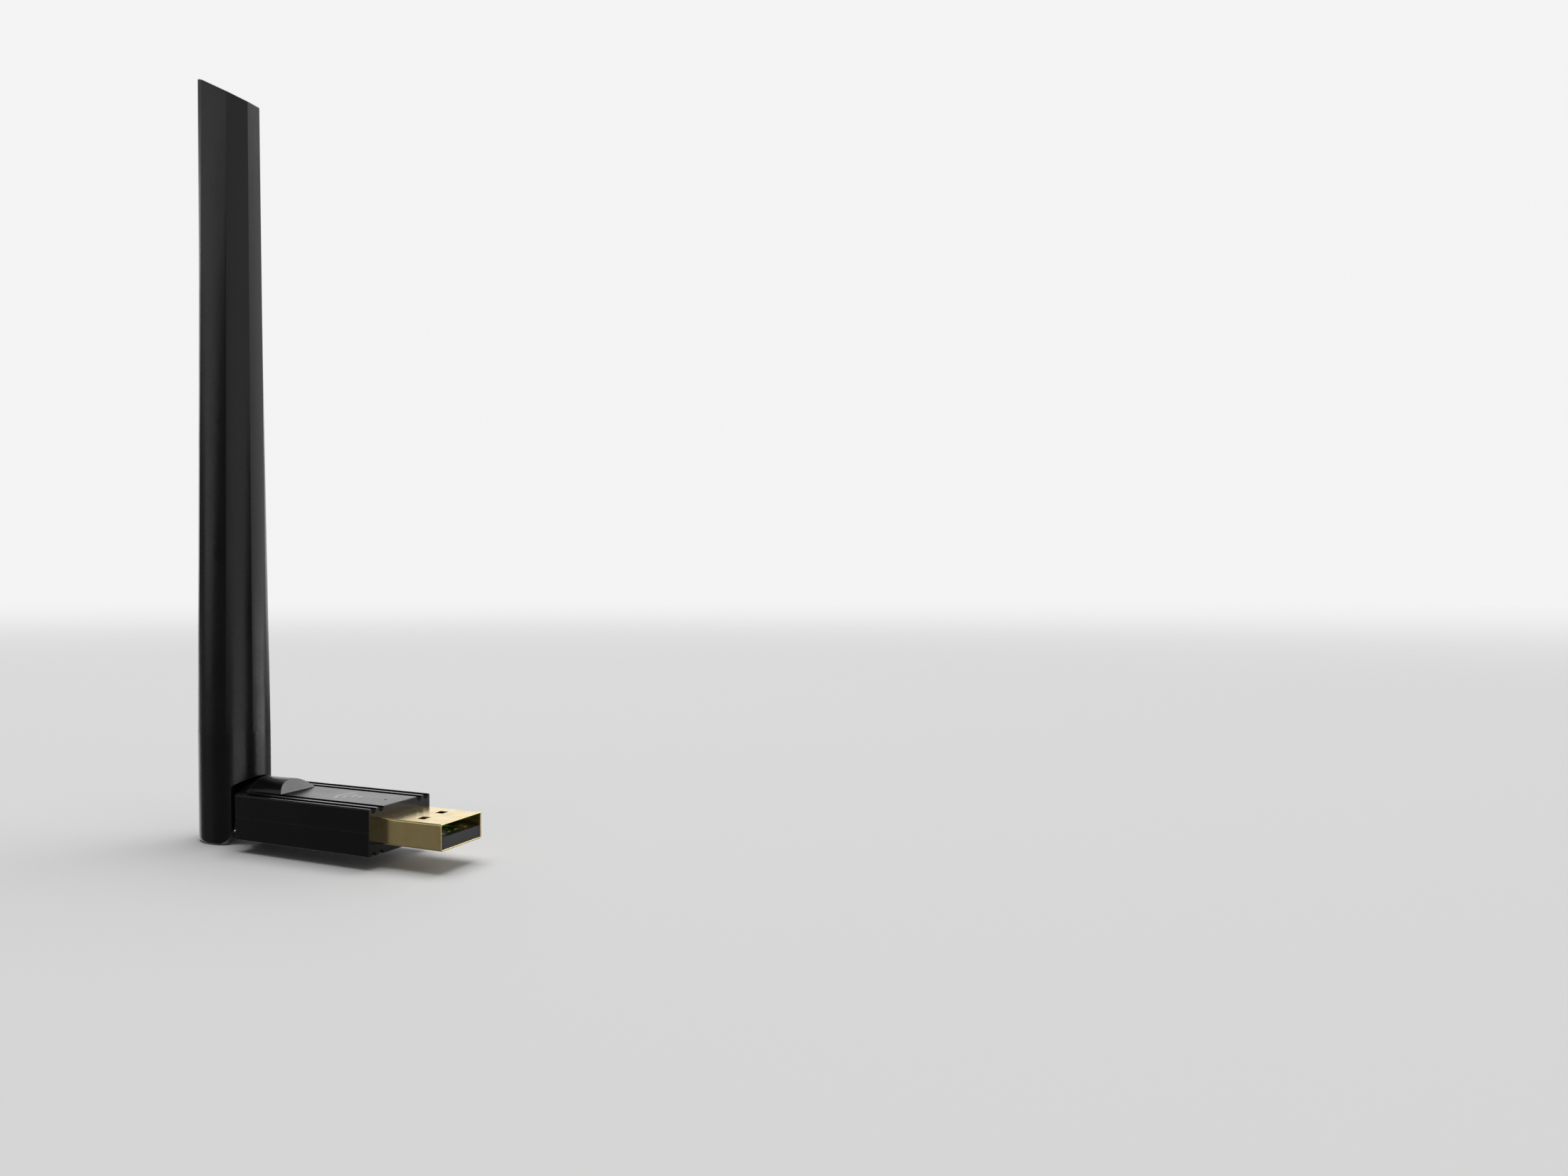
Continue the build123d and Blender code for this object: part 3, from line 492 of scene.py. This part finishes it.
# ---------------------------------------------------------------- studio
def floor_material():
    """Plain matt grey that fades out with distance, so that the floor runs into the backdrop."""
    surface = Surface("studio_floor", FLOOR_COLOR, 0.45)
    surface.set("Specular IOR Level", 0.0)
    distance = surface.nodes.new("ShaderNodeVectorMath")
    distance.operation = "LENGTH"
    surface.links.new(surface.place, distance.inputs[0])
    steps = surface.math("DIVIDE", distance.outputs["Value"], FLOOR_FADE)
    fade = surface.math("ADD", surface.math("POWER", steps, 2.0), 1.0)
    surface.feed("Alpha", surface.math("DIVIDE", 1.0, fade))
    return surface.material


def make_floor():
    """A plain pale disc under the adapter's lowest point, which its glossy faces don't reflect."""
    mesh = bpy.data.meshes.new("studio_floor")
    shape = bmesh.new()
    bmesh.ops.create_circle(shape, cap_ends=True, radius=FLOOR_RADIUS, segments=96)
    shape.to_mesh(mesh)
    shape.free()
    mesh.materials.append(floor_material())
    floor = bpy.data.objects.new("studio_floor", mesh)
    floor.location.z = CAD_LOW.z
    floor.visible_glossy = False
    bpy.context.scene.collection.objects.link(floor)


class Room:
    """The world: a dim room with a bright wall behind the adapter, which the camera sees plain."""

    def __init__(self):
        world = bpy.data.worlds.new("studio_room")
        bpy.context.scene.world = world
        world.use_nodes = True
        self.nodes, self.links = world.node_tree.nodes, world.node_tree.links

    def ramp(self, source, span, low, high):
        """A smooth step from low to high as source goes through span."""
        made = self.nodes.new("ShaderNodeMapRange")
        made.interpolation_type = "SMOOTHSTEP"
        for name, value in zip(("From Min", "From Max", "To Min", "To Max"), (*span, low, high)):
            made.inputs[name].default_value = value
        self.links.new(source, made.inputs["Value"])
        return made.outputs["Result"]

    def product(self, first, second):
        """Two sockets multiplied."""
        made = self.nodes.new("ShaderNodeMath")
        made.operation = "MULTIPLY"
        self.links.new(first, made.inputs[0])
        self.links.new(second, made.inputs[1])
        return made.outputs["Value"]

    def wall(self):
        """How much of the back wall a direction meets, 0 to 1."""
        direction = self.nodes.new("ShaderNodeTexCoord").outputs["Generated"]
        parts = self.nodes.new("ShaderNodeSeparateXYZ")
        self.links.new(direction, parts.inputs["Vector"])
        rise = self.nodes.new("ShaderNodeVectorMath")
        rise.operation = "DOT_PRODUCT"
        rise.inputs[1].default_value = WALL_RISE
        self.links.new(direction, rise.inputs[0])
        back = self.ramp(parts.outputs["Y"], WALL_SIDES, 0.0, 1.0)
        foot = self.ramp(parts.outputs["Z"], WALL_FOOT, ROOM_BELOW, 1.0)
        top = self.ramp(rise.outputs["Value"], WALL_TOP, 1.0, ROOM_ABOVE)
        return self.product(self.product(back, foot), top)

    def build(self):
        """Lights the adapter with the room, and shows the camera the plain backdrop."""
        room = self.nodes["Background"]
        room.inputs["Color"].default_value = (1.0, 1.0, 1.0, 1.0)
        brightness = self.ramp(self.wall(), (0.0, 1.0), ROOM_FRONT, ROOM_BACK)
        self.links.new(brightness, room.inputs["Strength"])
        plain = self.nodes.new("ShaderNodeBackground")
        plain.inputs["Color"].default_value = (*BACKDROP_COLOR, 1.0)
        mix = self.nodes.new("ShaderNodeMixShader")
        self.links.new(self.nodes.new("ShaderNodeLightPath").outputs["Is Camera Ray"], mix.inputs["Fac"])
        self.links.new(room.outputs["Background"], mix.inputs[1])
        self.links.new(plain.outputs["Background"], mix.inputs[2])
        self.links.new(mix.outputs["Shader"], self.nodes["World Output"].inputs["Surface"])


def add_softbox(name, place, size, brightness, aim=ADAPTER_MIDDLE, only_reflected=True):
    """A rectangular area light that faces aim, as bright to look at as a white wall times brightness."""
    data = bpy.data.lights.new(name, "AREA")
    data.shape = "RECTANGLE"
    data.size, data.size_y = size
    data.energy = brightness * math.pi * size[0] * size[1]
    box = bpy.data.objects.new(name, data)
    box.location = place
    box.rotation_euler = (Vector(aim) - Vector(place)).to_track_quat("-Z", "Y").to_euler()
    box.visible_camera = False
    box.visible_diffuse = not only_reflected
    bpy.context.scene.collection.objects.link(box)


def make_softboxes():
    """One softbox overhead lights everything; the rest only show in the adapter's glossy faces."""
    add_softbox("left_softbox", (-0.81, -0.66, 0.36), size=(0.56, 0.74), brightness=0.62)
    add_softbox("right_softbox", (0.57, -0.66, 0.40), size=(0.90, 0.86), brightness=0.60)
    add_softbox("top_softbox", (-0.05, 0.10, 1.10), size=(1.00, 1.00), brightness=2.70, only_reflected=False)
    add_softbox("back_softbox", (0.24, 0.73, 0.63), size=(0.30, 0.30), brightness=5.6, aim=HOOD_FACE)


def make_sheens():
    """Softboxes below the floor, in place of a glossy floor's mirror images of the lights."""
    add_softbox("left_sheen", (-0.78, -0.72, -0.20), size=(0.56, 0.38), brightness=0.06)
    add_softbox("right_sheen", (0.72, -0.56, -0.20), size=(0.70, 0.38), brightness=1.10)
    add_softbox("back_sheen", (0.68, 0.65, -0.07), size=(0.75, 0.14), brightness=2.60)
    add_softbox("rear_sheen", (-0.85, 0.50, -0.22), size=(0.95, 0.42), brightness=1.00)


def make_strips():
    """Small softboxes that draw thin highlights along the hood."""
    for name, azimuth, elevation in STRIPS:
        level = STRIP_DISTANCE * math.cos(math.radians(elevation))
        place = (level * math.cos(math.radians(azimuth)), level * math.sin(math.radians(azimuth)),
                 STRIP_DISTANCE * math.sin(math.radians(elevation)))
        add_softbox(name, place, STRIP_SIZE, STRIP_BRIGHTNESS, aim=HOOD_SIDE)


def make_camera():
    """The camera, a little above the case and in front of its plug end, looking left of +Y."""
    data = bpy.data.cameras.new("photo_camera")
    data.sensor_width = CAMERA_SENSOR
    data.lens = CAMERA_LENS
    data.shift_x, data.shift_y = CAMERA_SHIFT
    data.clip_start = CAMERA_NEAREST
    camera = bpy.data.objects.new("photo_camera", data)
    camera.location = CAMERA_PLACE
    camera.rotation_euler = (math.pi / 2 + CAMERA_PITCH, 0.0, CAMERA_YAW)
    bpy.context.scene.collection.objects.link(camera)
    bpy.context.scene.camera = camera


bpy.context.scene.view_settings.view_transform = "Standard"
make_camera()
dress_nodes()
make_icon()
make_floor()
Room().build()
make_softboxes()
make_sheens()
make_strips()
